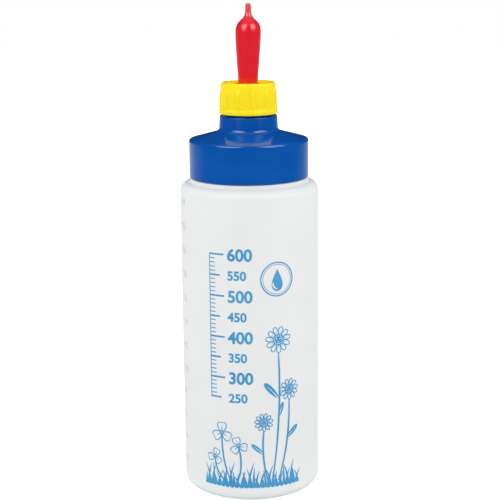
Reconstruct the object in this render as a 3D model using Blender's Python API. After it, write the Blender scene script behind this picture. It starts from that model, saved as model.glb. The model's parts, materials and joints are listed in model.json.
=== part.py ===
"""Lamb feeding bottle: a squeeze bottle, a wide screw cap with a threaded spout, and a rubber
teat that a ribbed cap clamps on the spout. A ball in the ribbed cap lets air in as milk goes out.

Metres, +Z up. The origin is the middle of the bottle's foot, on the surface that it stands on.
Each function below makes one piece with its own zero height, and main() stacks the pieces.
"""

import math

import bmesh
import bpy
from mathutils import Matrix, Vector
from mathutils.geometry import interpolate_bezier

MM = 0.001

# Bottle body
BODY_RADIUS = 38.6 * MM
SHOULDER_HEIGHT = 175.4 * MM
SHOULDER_CORNER = 5.4 * MM
BODY_WALL = 1.3 * MM
FOOT_CORNER = 5.6 * MM
FOOT_WIDTH = 3.4 * MM
PUSH_UP = 3.0 * MM
PUSH_UP_RUN = 6.0 * MM

# Bottle neck and its thread
NECK_RADIUS = 29.9 * MM
NECK_HEIGHT = 19.1 * MM
NECK_WALL = 1.8 * MM
LEDGE_RADIUS = 32.8 * MM
LEDGE_HEIGHT = 2.1 * MM
NECK_PITCH = 4.23 * MM
NECK_THREAD_HEIGHT = 1.3 * MM
NECK_THREAD_TURNS = 1.75
NECK_THREAD_BELOW_LIP = 3.0 * MM

# Gasket of the wide cap
GASKET_THICKNESS = 1.5 * MM
GASKET_WIDTH = 3.9 * MM

# Wide screw cap
SKIRT_WALL = 1.5 * MM
SKIRT_CLEARANCE = 0.3 * MM
CROWN_WALL = 2.15 * MM
CONE_RISE = 4.55 * MM
CONE_WALL = 2.0 * MM
COLLAR_RADIUS = 16.4 * MM
COLLAR_DRAFT = 0.45 * MM
COLLAR_HEIGHT = 8.3 * MM
COLLAR_WALL = 1.8 * MM

# Spout on the wide cap and its thread
SPOUT_RADIUS = 12.45 * MM
SPOUT_HEIGHT = 10.9 * MM
SPOUT_WALL = 1.6 * MM
SPOUT_PITCH = 3.18 * MM
SPOUT_THREAD_HEIGHT = 1.25 * MM
SPOUT_THREAD_TURNS = 1.5
SPOUT_THREAD_BELOW_LIP = 2.0 * MM

# Teat
FLANGE_THICKNESS = 2.0 * MM
TEAT_NECK_RADIUS = 5.4 * MM
TEAT_NECK_LENGTH = 5.5 * MM
TEAT_BULB_RADIUS = 6.9 * MM
TEAT_BULB_HEIGHT = 34.0 * MM
TEAT_DOME_HEIGHT = 11.9 * MM
TEAT_TIP_RADIUS = 1.6 * MM
TEAT_TIP_LENGTH = 3.7 * MM
TEAT_TIP_ROUND = 0.7 * MM
TEAT_WALL = 1.6 * MM
MILK_HOLE_RADIUS = 0.5 * MM
AIR_HOLE_RADIUS = 0.75 * MM
AIR_HOLE_COUNT = 4

# Handles of the teat's two side curves, as shares of their heights, and how far the bulb has
# swollen at the lower curve's first handle
TEAT_SWELL_HANDLE = 0.3
TEAT_SWELL_SHARE = 0.42
TEAT_DOME_HANDLE = 0.66
TEAT_TIP_HANDLE = 0.55

# Ribbed teat cap
CAP_WALL = 1.4 * MM
CAP_TOP_DRAFT = 0.35 * MM
CAP_TOP_ROUND = 1.9 * MM
CAP_CLEARANCE = 1.2 * MM
CAP_BEAD = 0.8 * MM
CAP_BEAD_HEIGHT = 4.2 * MM
DECK_WALL = 1.8 * MM
CLAMP_RING_WALL = 2.0 * MM
RIB_COUNT = 12
RIB_WIDTH = 2.4 * MM
RIB_HEIGHT = 0.7 * MM
RIB_LENGTH = 9.0 * MM
RIB_FADE = 2.6 * MM
FIRST_RIB_ANGLE = math.radians(-80.5)

# Air valve in the teat cap
BALL_RADIUS = 1.5875 * MM
BALL_TRAVEL = 1.0 * MM
VENT_RADIUS = 0.75 * MM
VENT_LAND = 0.65 * MM
BOSS_WALL = 1.2 * MM
AIR_SLOT_WIDTH = 1.6 * MM
AIR_SLOT_HEIGHT = 1.2 * MM

# Clearances between pieces
TOUCH = 0.3 * MM
THREAD_CLEARANCE = 0.4 * MM
GASKET_CLEARANCE = 0.4 * MM
TEAT_HOLE_CLEARANCE = 0.35 * MM
FLANGE_CLEARANCE = 0.9 * MM
BALL_CLEARANCE = 0.35 * MM
BALL_SEAT_CLEARANCE = 0.1 * MM

# Form of both threads: the ridge's width at its foot and at its crest, as shares of the pitch
RIDGE_FOOT_SHARE = 0.5
RIDGE_CREST_SHARE = 0.22
RIDGE_SINK = 0.5 * MM
RIDGE_END_SHARE = 0.15
RIDGE_RUN_OUT = math.radians(50)

# Small edge rounds
EDGE = 0.35 * MM
NECK_FILLET = 0.8 * MM

# Fineness: how far a straight step may lie inside its arc, the most of an outline's side that
# one rounding takes, the angle above which an edge is shown sharp, and the sides of turned pieces
ARC_ERROR = 0.1 * MM
MOST_ROUNDED_SHARE = 0.85
SHARP_ANGLE = math.radians(35)
BODY_SIDES = 48
CAP_SIDES = 36
TEAT_SIDES = 28
HOLE_SIDES = 12
BALL_SIDES = 16
RIDGE_STEPS_PER_TURN = 36
BEZIER_POINTS = 7
WELD = 0.001 * MM

# Heights and radii that follow from the values above
LEDGE_TOP = SHOULDER_HEIGHT + LEDGE_HEIGHT
LIP_HEIGHT = SHOULDER_HEIGHT + NECK_HEIGHT
NECK_BORE = NECK_RADIUS - NECK_WALL
SEAT_HEIGHT = LIP_HEIGHT + TOUCH + GASKET_THICKNESS + TOUCH
SKIRT_BORE = NECK_RADIUS + NECK_THREAD_HEIGHT + THREAD_CLEARANCE
SKIRT_RADIUS = SKIRT_BORE + SKIRT_WALL
SKIRT_BOTTOM = LEDGE_TOP + SKIRT_CLEARANCE - SEAT_HEIGHT
GASKET_RADIUS = SKIRT_BORE - GASKET_CLEARANCE
COLLAR_TOP = CROWN_WALL + CONE_RISE + COLLAR_HEIGHT
SPOUT_LIP = COLLAR_TOP + SPOUT_HEIGHT
SPOUT_BORE = SPOUT_RADIUS - SPOUT_WALL
FLANGE_HEIGHT = SPOUT_LIP + TOUCH
CLAMP_HEIGHT = FLANGE_HEIGHT + FLANGE_THICKNESS + TOUCH
CAP_BORE = SPOUT_RADIUS + SPOUT_THREAD_HEIGHT + THREAD_CLEARANCE
CAP_RADIUS = CAP_BORE + CAP_WALL
CAP_BOTTOM = COLLAR_TOP + CAP_CLEARANCE - CLAMP_HEIGHT
FLANGE_RADIUS = CAP_BORE - FLANGE_CLEARANCE
TEAT_HOLE = TEAT_NECK_RADIUS + TEAT_HOLE_CLEARANCE
INNER_RING_RADIUS = TEAT_HOLE + CLAMP_RING_WALL
VENT_OFFSET = (INNER_RING_RADIUS + SPOUT_BORE) / 2
POCKET_RADIUS = BALL_RADIUS + BALL_CLEARANCE
SEATED_BALL_HEIGHT = BALL_RADIUS + BALL_TRAVEL
SEAT_TOP = SEATED_BALL_HEIGHT + math.sqrt(2) * (BALL_RADIUS + BALL_SEAT_CLEARANCE) - VENT_RADIUS
CAP_TOP = SEAT_TOP + VENT_LAND


def clear_scene():
    for thing in list(bpy.data.objects):
        bpy.data.objects.remove(thing, do_unlink=True)


def material(name, colour, roughness, metallic=0.0):
    made = bpy.data.materials.new(name)
    made.use_nodes = True
    shader = made.node_tree.nodes["Principled BSDF"]
    shader.inputs["Base Color"].default_value = (*colour, 1.0)
    shader.inputs["Roughness"].default_value = roughness
    shader.inputs["Metallic"].default_value = metallic
    made.diffuse_color = (*colour, 1.0)
    return made


def fillet_points(corner, before, after, radius):
    """The points of the arc that rounds a corner between the corners before and after it."""
    if radius <= 0:
        return [corner]
    back = before - corner
    ahead = after - corner
    half_angle = back.angle(ahead) / 2
    most = MOST_ROUNDED_SHARE * min(back.length, ahead.length)
    reach = min(radius / math.tan(half_angle), most)
    radius = reach * math.tan(half_angle)
    back.normalize()
    ahead.normalize()
    centre = corner + (back + ahead).normalized() * (radius / math.sin(half_angle))
    sweep = math.pi - 2 * half_angle
    step = 2 * math.acos(max(0.5, 1 - ARC_ERROR / radius))
    steps = max(1, math.ceil(sweep / step))
    turn = math.copysign(sweep / steps, ahead.cross(back))
    spoke = corner + back * reach - centre
    return [centre + Matrix.Rotation(turn * count, 2) @ spoke for count in range(steps + 1)]


def outline(corners):
    """A closed outline in (radius, height) from (radius, height, rounding) corners."""
    points = []
    for index, (radius, height, rounding) in enumerate(corners):
        before = Vector(corners[index - 1][:2])
        after = Vector(corners[(index + 1) % len(corners)][:2])
        points += fillet_points(Vector((radius, height)), before, after, rounding)
    return points


def turned(points, sides):
    """The solid that a closed outline sweeps when it is spun once about Z.

    Two points on the axis next to each other are the ends of the outline, so no edge joins them.
    """
    shape = bmesh.new()
    ring = [shape.verts.new((point[0], 0, point[1])) for point in points]
    pairs = zip(ring, ring[1:] + ring[:1])
    edges = [shape.edges.new(pair) for pair in pairs if max(pair[0].co.x, pair[1].co.x) > WELD]
    bmesh.ops.spin(
        shape, geom=ring + edges, cent=(0, 0, 0), axis=(0, 0, 1), angle=math.tau, steps=sides
    )
    bmesh.ops.remove_doubles(shape, verts=shape.verts, dist=WELD)
    bmesh.ops.recalc_face_normals(shape, faces=shape.faces)
    return shape


def lofted(rings):
    """The closed solid through rings of as many points each, with flat ends."""
    shape = bmesh.new()
    loops = [[shape.verts.new(point) for point in ring] for ring in rings]
    for loop, following in zip(loops, loops[1:]):
        for corner in range(len(loop)):
            shape.faces.new((loop[corner - 1], loop[corner], following[corner], following[corner - 1]))
    shape.faces.new(loops[0])
    shape.faces.new(loops[-1])
    bmesh.ops.recalc_face_normals(shape, faces=shape.faces)
    return shape


def ridge(wall, crest, pitch, turns, start):
    """A helical thread ridge that climbs from start, with its foot sunk in the wall.

    It grows out of the wall at one end and runs back into it at the other.
    """
    foot = wall - math.copysign(RIDGE_SINK, crest - wall)
    flank = (RIDGE_FOOT_SHARE - RIDGE_CREST_SHARE) / 2 * pitch / abs(crest - wall)
    half_crest = RIDGE_CREST_SHARE / 2 * pitch
    steps = round(turns * RIDGE_STEPS_PER_TURN)
    rings = []
    for step in range(steps + 1):
        angle = math.tau * turns * step / steps
        from_end = min(angle, math.tau * turns - angle)
        growth = min(1, RIDGE_END_SHARE + (1 - RIDGE_END_SHARE) * from_end / RIDGE_RUN_OUT)
        top = foot + (crest - foot) * growth
        height = start + pitch * angle / math.tau
        half_foot = half_crest + flank * abs(top - foot)
        section = (
            (foot, height - half_foot),
            (top, height - half_crest),
            (top, height + half_crest),
            (foot, height + half_foot),
        )
        rings.append([(r * math.cos(angle), r * math.sin(angle), z) for r, z in section])
    return lofted(rings)


def cylinder(radius, low, high, sides, x=0.0, y=0.0):
    shape = bmesh.new()
    middle = Matrix.Translation((x, y, (low + high) / 2))
    bmesh.ops.create_cone(
        shape, cap_ends=True, segments=sides, radius1=radius, radius2=radius,
        depth=high - low, matrix=middle,
    )
    return shape


def box(size, centre):
    shape = bmesh.new()
    bmesh.ops.create_cube(shape, size=1, matrix=Matrix.Translation(centre) @ Matrix.Diagonal((*size, 1)))
    return shape


def copies_round_axis(shape, angles):
    """One copy of the shape at each angle round Z, all in one mesh."""
    pattern = bpy.data.meshes.new("pattern")
    shape.to_mesh(pattern)
    shape.free()
    together = bmesh.new()
    for angle in angles:
        first = len(together.verts)
        together.from_mesh(pattern)
        together.verts.ensure_lookup_table()
        bmesh.ops.rotate(together, matrix=Matrix.Rotation(angle, 3, "Z"), verts=together.verts[first:])
    bpy.data.meshes.remove(pattern)
    return together


def add_object(name, shape, finish=None):
    mesh = bpy.data.meshes.new(name)
    shape.to_mesh(mesh)
    shape.free()
    mesh.shade_smooth()
    mesh.set_sharp_from_angle(angle=SHARP_ANGLE)
    if finish:
        mesh.materials.append(finish)
    thing = bpy.data.objects.new(name, mesh)
    bpy.context.scene.collection.objects.link(thing)
    return thing


def combine(piece, operation, name, shape):
    """Joins a helper shape to a piece, or cuts it out. The helper stays in the scene as a wire."""
    helper = add_object(name, shape)
    helper.hide_render = True
    helper.display_type = "WIRE"
    helper.parent = piece
    modifier = piece.modifiers.new(name, "BOOLEAN")
    modifier.operation = operation
    modifier.solver = "EXACT"
    modifier.object = helper


def make_bottle():
    """Zero height is the surface that the foot stands on."""
    inside = BODY_RADIUS - BODY_WALL
    foot_inside = BODY_RADIUS - FOOT_CORNER - FOOT_WIDTH
    dome_edge = foot_inside - PUSH_UP_RUN
    ceiling = SHOULDER_HEIGHT - BODY_WALL
    corners = [
        (0, PUSH_UP, 0),
        (dome_edge, PUSH_UP, PUSH_UP),
        (foot_inside, 0, 2 * EDGE),
        (BODY_RADIUS, 0, FOOT_CORNER),
        (BODY_RADIUS, SHOULDER_HEIGHT, SHOULDER_CORNER),
        (LEDGE_RADIUS, SHOULDER_HEIGHT, EDGE),
        (LEDGE_RADIUS, LEDGE_TOP, EDGE),
        (NECK_RADIUS, LEDGE_TOP, EDGE),
        (NECK_RADIUS, LIP_HEIGHT, EDGE),
        (NECK_BORE, LIP_HEIGHT, EDGE),
        (NECK_BORE, ceiling, NECK_FILLET),
        (inside, ceiling, SHOULDER_CORNER - BODY_WALL),
        (inside, BODY_WALL, FOOT_CORNER - BODY_WALL),
        (foot_inside, BODY_WALL, 2 * EDGE),
        (dome_edge, PUSH_UP + BODY_WALL, PUSH_UP),
        (0, PUSH_UP + BODY_WALL, 0),
    ]
    finish = material("frosted_plastic", (0.82, 0.84, 0.84), 0.45)
    bottle = add_object("bottle", turned(outline(corners), BODY_SIDES), finish)
    start = LIP_HEIGHT - NECK_THREAD_BELOW_LIP - NECK_PITCH * NECK_THREAD_TURNS
    crest = NECK_RADIUS + NECK_THREAD_HEIGHT
    thread = ridge(NECK_RADIUS, crest, NECK_PITCH, NECK_THREAD_TURNS, start)
    combine(bottle, "UNION", "neck_thread", thread)
    return bottle


def make_gasket():
    """Zero height is its underside, which seals on the bottle's lip."""
    inner = GASKET_RADIUS - GASKET_WIDTH
    corners = [
        (inner, 0, 0),
        (GASKET_RADIUS, 0, 0),
        (GASKET_RADIUS, GASKET_THICKNESS, 0),
        (inner, GASKET_THICKNESS, 0),
    ]
    finish = material("white_foam", (0.88, 0.88, 0.85), 0.8)
    return add_object("bottle_gasket", turned(outline(corners), BODY_SIDES), finish)


def make_screw_cap():
    """Zero height is the seat that presses on the gasket."""
    cone_foot = CROWN_WALL
    cone_top = CROWN_WALL + CONE_RISE
    slope = CONE_RISE / (SKIRT_RADIUS - COLLAR_RADIUS)
    seat_edge = GASKET_RADIUS - GASKET_WIDTH
    hollow = COLLAR_RADIUS - COLLAR_DRAFT - COLLAR_WALL
    under_collar = COLLAR_TOP - COLLAR_WALL

    def under_cone(radius):
        return cone_foot + slope * (SKIRT_RADIUS - radius) - CONE_WALL

    corners = [
        (SKIRT_BORE, SKIRT_BOTTOM, EDGE),
        (SKIRT_RADIUS, SKIRT_BOTTOM, EDGE),
        (SKIRT_RADIUS, cone_foot, 3 * EDGE),
        (COLLAR_RADIUS, cone_top, 2 * EDGE),
        (COLLAR_RADIUS - COLLAR_DRAFT, COLLAR_TOP, EDGE),
        (SPOUT_RADIUS, COLLAR_TOP, EDGE),
        (SPOUT_RADIUS, SPOUT_LIP, EDGE),
        (SPOUT_BORE, SPOUT_LIP, EDGE),
        (SPOUT_BORE, under_collar, EDGE),
        (hollow, under_collar, 2 * EDGE),
        (hollow, under_cone(hollow), 2 * EDGE),
        (seat_edge, max(under_cone(seat_edge), 2 * EDGE), EDGE),
        (seat_edge, 0, 0),
        (SKIRT_BORE, 0, 0),
    ]
    finish = material("blue_plastic", (0.0, 0.09, 0.40), 0.22)
    cap = add_object("screw_cap", turned(outline(corners), BODY_SIDES), finish)
    # The inside thread runs half a pitch below the neck's ridge, in the middle of its groove.
    neck_start = LIP_HEIGHT - NECK_THREAD_BELOW_LIP - NECK_PITCH * NECK_THREAD_TURNS - SEAT_HEIGHT
    skirt_thread = ridge(
        SKIRT_BORE, SKIRT_BORE - NECK_THREAD_HEIGHT, NECK_PITCH, NECK_THREAD_TURNS,
        neck_start - NECK_PITCH / 2,
    )
    combine(cap, "UNION", "skirt_thread", skirt_thread)
    start = SPOUT_LIP - SPOUT_THREAD_BELOW_LIP - SPOUT_PITCH * SPOUT_THREAD_TURNS
    crest = SPOUT_RADIUS + SPOUT_THREAD_HEIGHT
    spout_thread = ridge(SPOUT_RADIUS, crest, SPOUT_PITCH, SPOUT_THREAD_TURNS, start)
    combine(cap, "UNION", "spout_thread", spout_thread)
    return cap


def teat_side(neck_radius, bulb_radius, tip_radius, dome_top):
    """The side of the teat from the flange up to the foot of its tip."""
    neck_top = FLANGE_THICKNESS + TEAT_NECK_LENGTH
    bulb = TEAT_BULB_HEIGHT
    reach = TEAT_SWELL_HANDLE * (bulb - neck_top)
    swollen = neck_radius + TEAT_SWELL_SHARE * (bulb_radius - neck_radius)
    rise = dome_top - bulb
    swell = (
        (neck_radius, neck_top),
        (swollen, neck_top + reach),
        (bulb_radius, bulb - reach),
        (bulb_radius, bulb),
    )
    dome = (
        (bulb_radius, bulb),
        (bulb_radius, bulb + TEAT_DOME_HANDLE * rise),
        (tip_radius, dome_top - TEAT_TIP_HANDLE * rise),
        (tip_radius, dome_top),
    )
    lower = interpolate_bezier(*map(Vector, swell), BEZIER_POINTS)
    upper = interpolate_bezier(*map(Vector, dome), BEZIER_POINTS)
    return lower + upper[1:]


def make_teat():
    """Zero height is the underside of the flange, which seals on the spout's lip."""
    dome_top = TEAT_BULB_HEIGHT + TEAT_DOME_HEIGHT
    tip_top = dome_top + TEAT_TIP_LENGTH
    bore = TEAT_NECK_RADIUS - TEAT_WALL
    outside = teat_side(TEAT_NECK_RADIUS, TEAT_BULB_RADIUS, TEAT_TIP_RADIUS, dome_top)
    inside = teat_side(bore, TEAT_BULB_RADIUS - TEAT_WALL, MILK_HOLE_RADIUS, dome_top - TEAT_WALL)
    tip = outline([
        (TEAT_TIP_RADIUS, dome_top, 0),
        (TEAT_TIP_RADIUS, tip_top, TEAT_TIP_ROUND),
        (MILK_HOLE_RADIUS, tip_top, 0),
        (MILK_HOLE_RADIUS, dome_top, 0),
    ])[1:-1]
    flange = outline([
        (bore, 0, 0),
        (FLANGE_RADIUS, 0, EDGE),
        (FLANGE_RADIUS, FLANGE_THICKNESS, EDGE),
        (TEAT_NECK_RADIUS, FLANGE_THICKNESS, 0),
    ])
    finish = material("red_rubber", (0.72, 0.015, 0.03), 0.32)
    profile = flange + outside + tip + inside[::-1]
    teat = add_object("teat", turned(profile, TEAT_SIDES), finish)
    hole = cylinder(AIR_HOLE_RADIUS, -FLANGE_THICKNESS, 2 * FLANGE_THICKNESS, HOLE_SIDES, VENT_OFFSET)
    # The first hole is half a step from the ball, which is on the -X side.
    angles = [math.pi + math.tau * (count + 0.5) / AIR_HOLE_COUNT for count in range(AIR_HOLE_COUNT)]
    combine(teat, "DIFFERENCE", "air_holes", copies_round_axis(hole, angles))
    return teat


def make_rib():
    """One rib of the teat cap, on the +X side, which fades into the wall at its top."""
    wall = CAP_RADIUS
    root = wall - CAP_WALL / 2
    half = RIB_WIDTH / 2
    section = [
        (root, -half), (wall, -half), (wall + RIB_HEIGHT, -half / 2),
        (wall + RIB_HEIGHT, half / 2), (wall, half), (root, half),
    ]
    low = CAP_BOTTOM + CAP_BEAD_HEIGHT / 2
    levels = (
        (low, 0),
        (low + RIB_LENGTH, 0),
        (low + RIB_LENGTH + RIB_FADE, -RIB_HEIGHT - CAP_TOP_DRAFT),
    )
    return lofted([[(x + shift, y, height) for x, y in section] for height, shift in levels])


def make_teat_cap():
    """Zero height is the clamp rings' underside, which presses on the teat's flange."""
    under_deck = CAP_TOP - DECK_WALL
    bead = CAP_RADIUS + CAP_BEAD
    bead_top = CAP_BOTTOM + CAP_BEAD_HEIGHT
    corners = [
        (CAP_BORE, CAP_BOTTOM, EDGE),
        (bead - EDGE, CAP_BOTTOM, EDGE),
        (bead, (CAP_BOTTOM + bead_top) / 2, 2 * EDGE),
        (CAP_RADIUS, bead_top, 2 * EDGE),
        (CAP_RADIUS - CAP_TOP_DRAFT, CAP_TOP, CAP_TOP_ROUND),
        (TEAT_HOLE, CAP_TOP, EDGE),
        (TEAT_HOLE, 0, 0),
        (INNER_RING_RADIUS, 0, 0),
        (INNER_RING_RADIUS, under_deck, 0),
        (SPOUT_BORE, under_deck, 0),
        (SPOUT_BORE, 0, 0),
        (SPOUT_RADIUS, 0, 0),
        (SPOUT_RADIUS, under_deck, 0),
        (CAP_BORE, under_deck, 0),
    ]
    finish = material("yellow_plastic", (0.93, 0.73, 0.01), 0.35)
    cap = add_object("teat_cap", turned(outline(corners), CAP_SIDES), finish)
    angles = [FIRST_RIB_ANGLE + math.tau * count / RIB_COUNT for count in range(RIB_COUNT)]
    combine(cap, "UNION", "ribs", copies_round_axis(make_rib(), angles))
    # The inside thread runs half a pitch below the spout's ridge, in the middle of its groove.
    spout_start = -TOUCH - FLANGE_THICKNESS - TOUCH - SPOUT_THREAD_BELOW_LIP
    start = spout_start - SPOUT_PITCH * SPOUT_THREAD_TURNS - SPOUT_PITCH / 2
    crest = CAP_BORE - SPOUT_THREAD_HEIGHT
    combine(cap, "UNION", "cap_thread", ridge(CAP_BORE, crest, SPOUT_PITCH, SPOUT_THREAD_TURNS, start))
    add_air_valve(cap)
    return cap


def add_air_valve(cap):
    """The boss of the ball's pocket, on the -X side, its cone seat, vent hole and air slot."""
    under_deck = CAP_TOP - DECK_WALL
    boss = cylinder(
        POCKET_RADIUS + BOSS_WALL, TOUCH / 2, under_deck + DECK_WALL / 2, 2 * HOLE_SIDES, -VENT_OFFSET
    )
    combine(cap, "UNION", "valve_boss", boss)
    pocket = turned(
        [
            (0, -POCKET_RADIUS),
            (POCKET_RADIUS, -POCKET_RADIUS),
            (POCKET_RADIUS, SEAT_TOP - (POCKET_RADIUS - VENT_RADIUS)),
            (VENT_RADIUS, SEAT_TOP),
            (VENT_RADIUS, CAP_TOP + VENT_LAND),
            (0, CAP_TOP + VENT_LAND),
        ],
        2 * HOLE_SIDES,
    )
    bmesh.ops.translate(pocket, verts=pocket.verts, vec=(-VENT_OFFSET, 0, 0))
    combine(cap, "DIFFERENCE", "ball_pocket", pocket)
    length = 2 * (POCKET_RADIUS + BOSS_WALL) + CLAMP_RING_WALL
    slot = box((AIR_SLOT_WIDTH, length, 2 * AIR_SLOT_HEIGHT), (-VENT_OFFSET, 0, 0))
    combine(cap, "DIFFERENCE", "air_slot", slot)


def make_vent_ball():
    """Zero height is its middle."""
    shape = bmesh.new()
    bmesh.ops.create_uvsphere(
        shape, u_segments=BALL_SIDES, v_segments=BALL_SIDES // 2, radius=BALL_RADIUS
    )
    return add_object("vent_ball", shape, material("steel", (0.62, 0.63, 0.65), 0.15, metallic=1.0))


def place(piece, parent, location):
    piece.parent = parent
    piece.location = location


def main():
    clear_scene()
    bottle = make_bottle()
    gasket = make_gasket()
    screw_cap = make_screw_cap()
    teat = make_teat()
    teat_cap = make_teat_cap()
    vent_ball = make_vent_ball()
    place(gasket, bottle, (0, 0, LIP_HEIGHT + TOUCH))
    place(screw_cap, bottle, (0, 0, SEAT_HEIGHT))
    place(teat, screw_cap, (0, 0, FLANGE_HEIGHT))
    place(teat_cap, screw_cap, (0, 0, CLAMP_HEIGHT))
    # The ball lies on the flange, a touch above it.
    place(vent_ball, teat_cap, (-VENT_OFFSET, 0, BALL_RADIUS))


main()
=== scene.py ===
# %% [markdown]
# # A lamb feeding bottle
# A frosted squeeze bottle with a wide blue screw cap. A ribbed yellow cap clamps a red rubber
# teat on the blue cap's spout, and a steel ball in it lets air in as the milk goes out.
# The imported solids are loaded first. They fix every size and every joint, and each finer piece
# that is made below stands for one of them and rides on the same body.

# %% Load the frame
import json
import math

import bmesh
import bpy
from mathutils import Matrix, Vector
from mathutils.geometry import interpolate_bezier, tessellate_polygon

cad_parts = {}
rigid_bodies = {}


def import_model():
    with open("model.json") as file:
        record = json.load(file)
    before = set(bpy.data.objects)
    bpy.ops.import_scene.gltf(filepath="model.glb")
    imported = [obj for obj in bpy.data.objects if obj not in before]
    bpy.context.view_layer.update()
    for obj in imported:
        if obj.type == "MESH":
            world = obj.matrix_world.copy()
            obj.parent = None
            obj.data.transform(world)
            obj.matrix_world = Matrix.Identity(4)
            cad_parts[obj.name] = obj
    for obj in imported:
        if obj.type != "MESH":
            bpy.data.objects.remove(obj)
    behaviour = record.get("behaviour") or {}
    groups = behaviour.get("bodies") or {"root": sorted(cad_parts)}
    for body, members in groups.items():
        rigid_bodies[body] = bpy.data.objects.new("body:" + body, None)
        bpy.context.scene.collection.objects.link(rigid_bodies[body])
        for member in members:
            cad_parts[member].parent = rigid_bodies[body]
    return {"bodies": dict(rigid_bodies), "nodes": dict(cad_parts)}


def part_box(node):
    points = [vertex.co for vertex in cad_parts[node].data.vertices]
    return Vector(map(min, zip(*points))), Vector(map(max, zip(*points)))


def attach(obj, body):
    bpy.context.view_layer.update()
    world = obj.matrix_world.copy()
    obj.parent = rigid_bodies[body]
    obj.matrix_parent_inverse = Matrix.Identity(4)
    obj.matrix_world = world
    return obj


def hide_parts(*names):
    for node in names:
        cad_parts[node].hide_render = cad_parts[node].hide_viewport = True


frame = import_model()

packed = set(frame["nodes"].values()) | set(frame["bodies"].values())
for thing in list(bpy.data.objects):
    if thing not in packed:
        bpy.data.objects.remove(thing, do_unlink=True)
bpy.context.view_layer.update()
print("packed nodes:", ", ".join(sorted(frame["nodes"])))

# %% [markdown]
# ## Camera
# The photograph looks a little down on the bottle from 0.75 m away, through a moderately long
# lens. A camera set by eye would hide an error in distance behind one in the lens. So distance,
# height, tilt and lens were worked out together, from how the widths shrink from shoulder to
# foot and how round the edges of foot and caps look. The camera leans by 0.6 degrees, as the
# bottle does in the picture.

# %% Set up the camera
CAMERA_PLACE = (0.0001, -0.75, 0.2975)
CAMERA_TILT = math.radians(90 - 12.19)
CAMERA_LEAN = math.radians(-0.597)
CAMERA_LENS = 98.09


def placed(name, data):
    """An object with that data, linked to the scene."""
    thing = bpy.data.objects.new(name, data)
    bpy.context.scene.collection.objects.link(thing)
    return thing


camera = placed("camera", bpy.data.cameras.new("camera"))
camera.data.sensor_width = 36
camera.data.lens = CAMERA_LENS
camera.data.clip_start = 0.01
camera.matrix_world = (
    Matrix.Translation(CAMERA_PLACE)
    @ Matrix.Rotation(CAMERA_TILT, 4, "X")
    @ Matrix.Rotation(CAMERA_LEAN, 4, "Z")
)
bpy.context.scene.camera = camera
print("camera at", CAMERA_PLACE, "m, with a lens of", CAMERA_LENS, "mm")

# %% [markdown]
# ## Turned pieces
# All five moulded pieces are round, so each is drawn as half a cross-section and turned about
# the vertical axis, as on a lathe. A corner is given as (radius, height, rounding) in mm. A
# modifier could bevel the edges afterwards, but rounding the outline first keeps every edge
# radius exact and the mesh regular.

# %% Round the corners of an outline
MM = 0.001
ARC_STEP = math.radians(11)
MOST_OF_SIDE = 0.85


def rounded(corners):
    """Each corner becomes points on an arc, which takes up no more than most of a side."""
    points = []
    for index, (radius, height, rounding) in enumerate(corners):
        corner = Vector((radius, height))
        if rounding <= 0:
            points.append(corner)
            continue
        back = Vector(corners[index - 1][:2]) - corner
        ahead = Vector(corners[(index + 1) % len(corners)][:2]) - corner
        half = back.angle(ahead) / 2
        reach = min(rounding / math.tan(half), MOST_OF_SIDE * min(back.length, ahead.length))
        inward = (back.normalized() + ahead.normalized()).normalized()
        centre = corner + inward * (reach / math.cos(half))
        sweep = math.pi - 2 * half
        steps = max(2, math.ceil(sweep / ARC_STEP))
        turn = math.copysign(sweep / steps, ahead.cross(back))
        spoke = corner + back.normalized() * reach - centre
        points += [centre + Matrix.Rotation(turn * count, 2) @ spoke for count in range(steps + 1)]
    return points


print("a 1 mm corner gets", len(rounded([(0, 0, 1), (9, 0, 0), (9, 9, 0), (0, 9, 0)])) - 3, "points")

# %% Turn an outline into a mesh
SHARP_EDGE = math.radians(38)


def turned(points, sides):
    """Points are (radius, height) in mm. Two points on the axis in a row are the outline's ends."""
    shape = bmesh.new()
    ring = [shape.verts.new((max(0, r) * MM, 0, z * MM)) for r, z in points]
    pairs = zip(ring, ring[1:] + ring[:1])
    edges = [shape.edges.new(pair) for pair in pairs if max(pair[0].co.x, pair[1].co.x) > 1e-6]
    bmesh.ops.spin(
        shape, geom=ring + edges, cent=(0, 0, 0), axis=(0, 0, 1), angle=math.tau, steps=sides
    )
    bmesh.ops.remove_doubles(shape, verts=shape.verts, dist=1e-6)
    bmesh.ops.recalc_face_normals(shape, faces=shape.faces)
    return shape


def smooth(mesh, sharp=SHARP_EDGE):
    mesh.shade_smooth()
    mesh.set_sharp_from_angle(angle=sharp)


def as_object(name, shape, sharp=SHARP_EDGE):
    mesh = bpy.data.meshes.new(name)
    shape.to_mesh(mesh)
    shape.free()
    smooth(mesh, sharp)
    print(name, "has", len(mesh.polygons), "faces")
    return placed(name, mesh)


print("edges sharper than", round(math.degrees(SHARP_EDGE)), "degrees stay crisp")

# %% [markdown]
# ## Threads and cuts
# A screw thread is one ridge that climbs round the wall. Its section is drawn at many small
# angles and the sections are joined into a closed rope, which grows out of the wall and runs back
# into it. A Boolean then makes ridge and wall one body. The Screw modifier could draw the same
# helix, but not the run-out at its ends.

# %% Draw a thread ridge
STEPS_PER_TURN = 72
ROOT = 0.5
CREST_SHARE = 0.11
FLANK_SHARE = 0.14
RUN_OUT = math.radians(50)
FIRST_GROWTH = 0.15


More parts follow.
